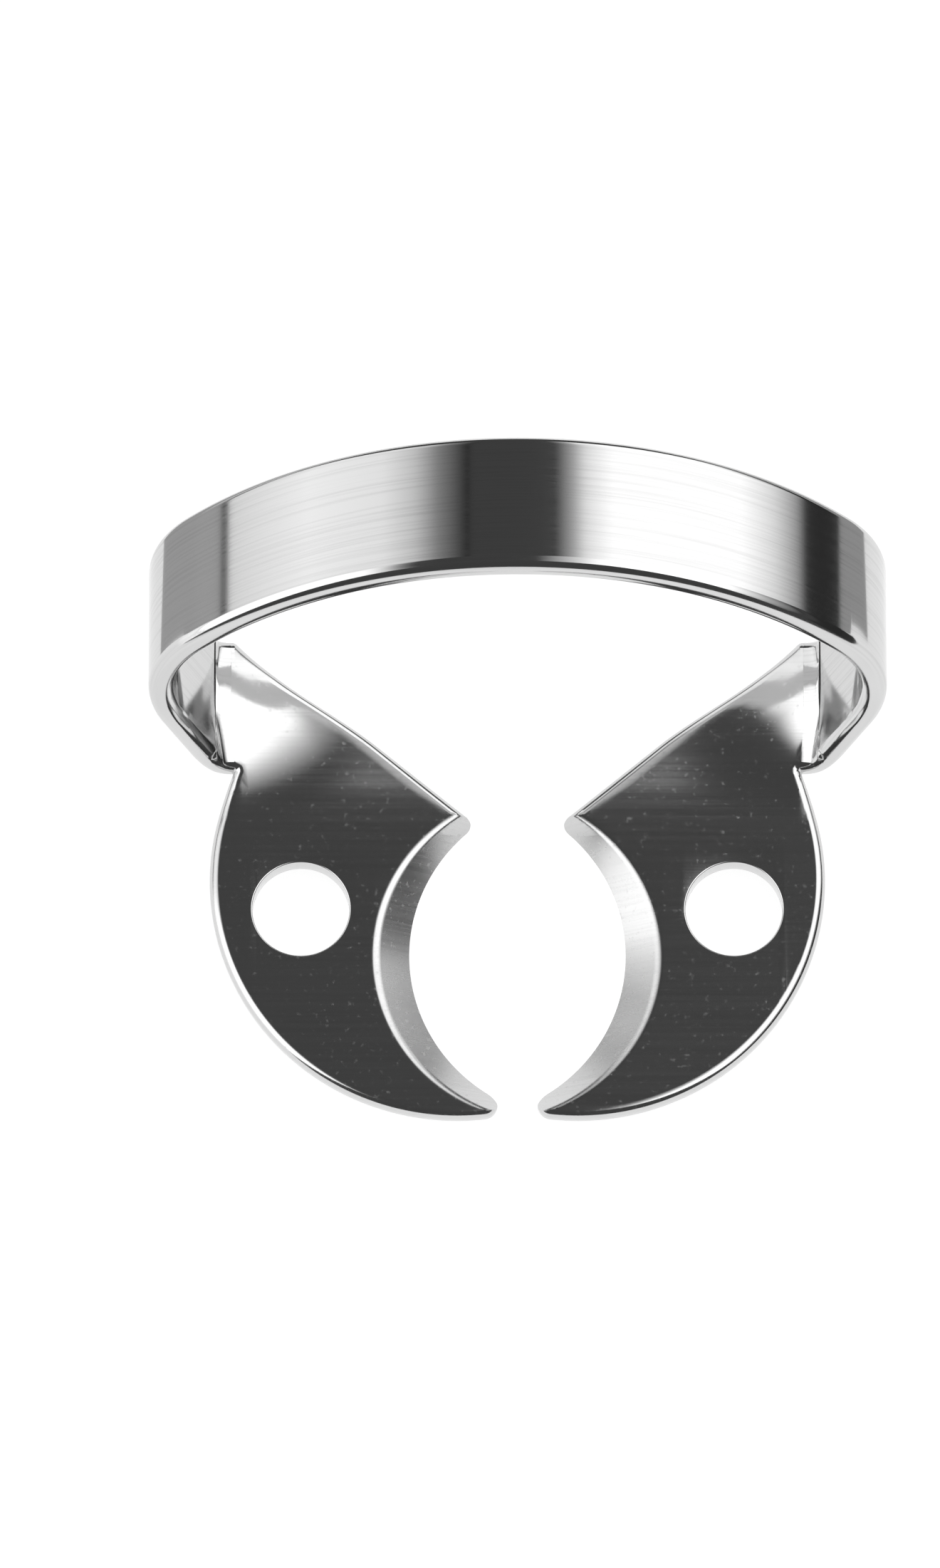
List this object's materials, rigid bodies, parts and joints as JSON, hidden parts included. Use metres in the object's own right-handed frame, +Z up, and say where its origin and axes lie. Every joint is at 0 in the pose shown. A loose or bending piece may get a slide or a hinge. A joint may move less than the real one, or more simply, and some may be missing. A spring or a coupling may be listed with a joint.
{
  "type": "rubber dam clamp",
  "caption": "One-piece spring steel clamp: flat hooked jaws grip a molar, joined by an arched bow; forceps holes spread it to seat a rubber dam.",
  "frame": {"origin": "middle of the clamp's overall footprint, on the plane that the undersides of the jaws rest on", "axes": "+Z up from the jaws towards the crown of the bow, +Y back towards the bow, X across the tooth from jaw to jaw"},
  "size_m": [0.022, 0.0176, 0.012],
  "materials": {
    "spring_steel": "polished spring stainless steel, finely brushed along the bow, edges tumbled round"
  },
  "bodies": {
    "root": {"clamp": "spring_steel"}
  },
  "joints": []
}
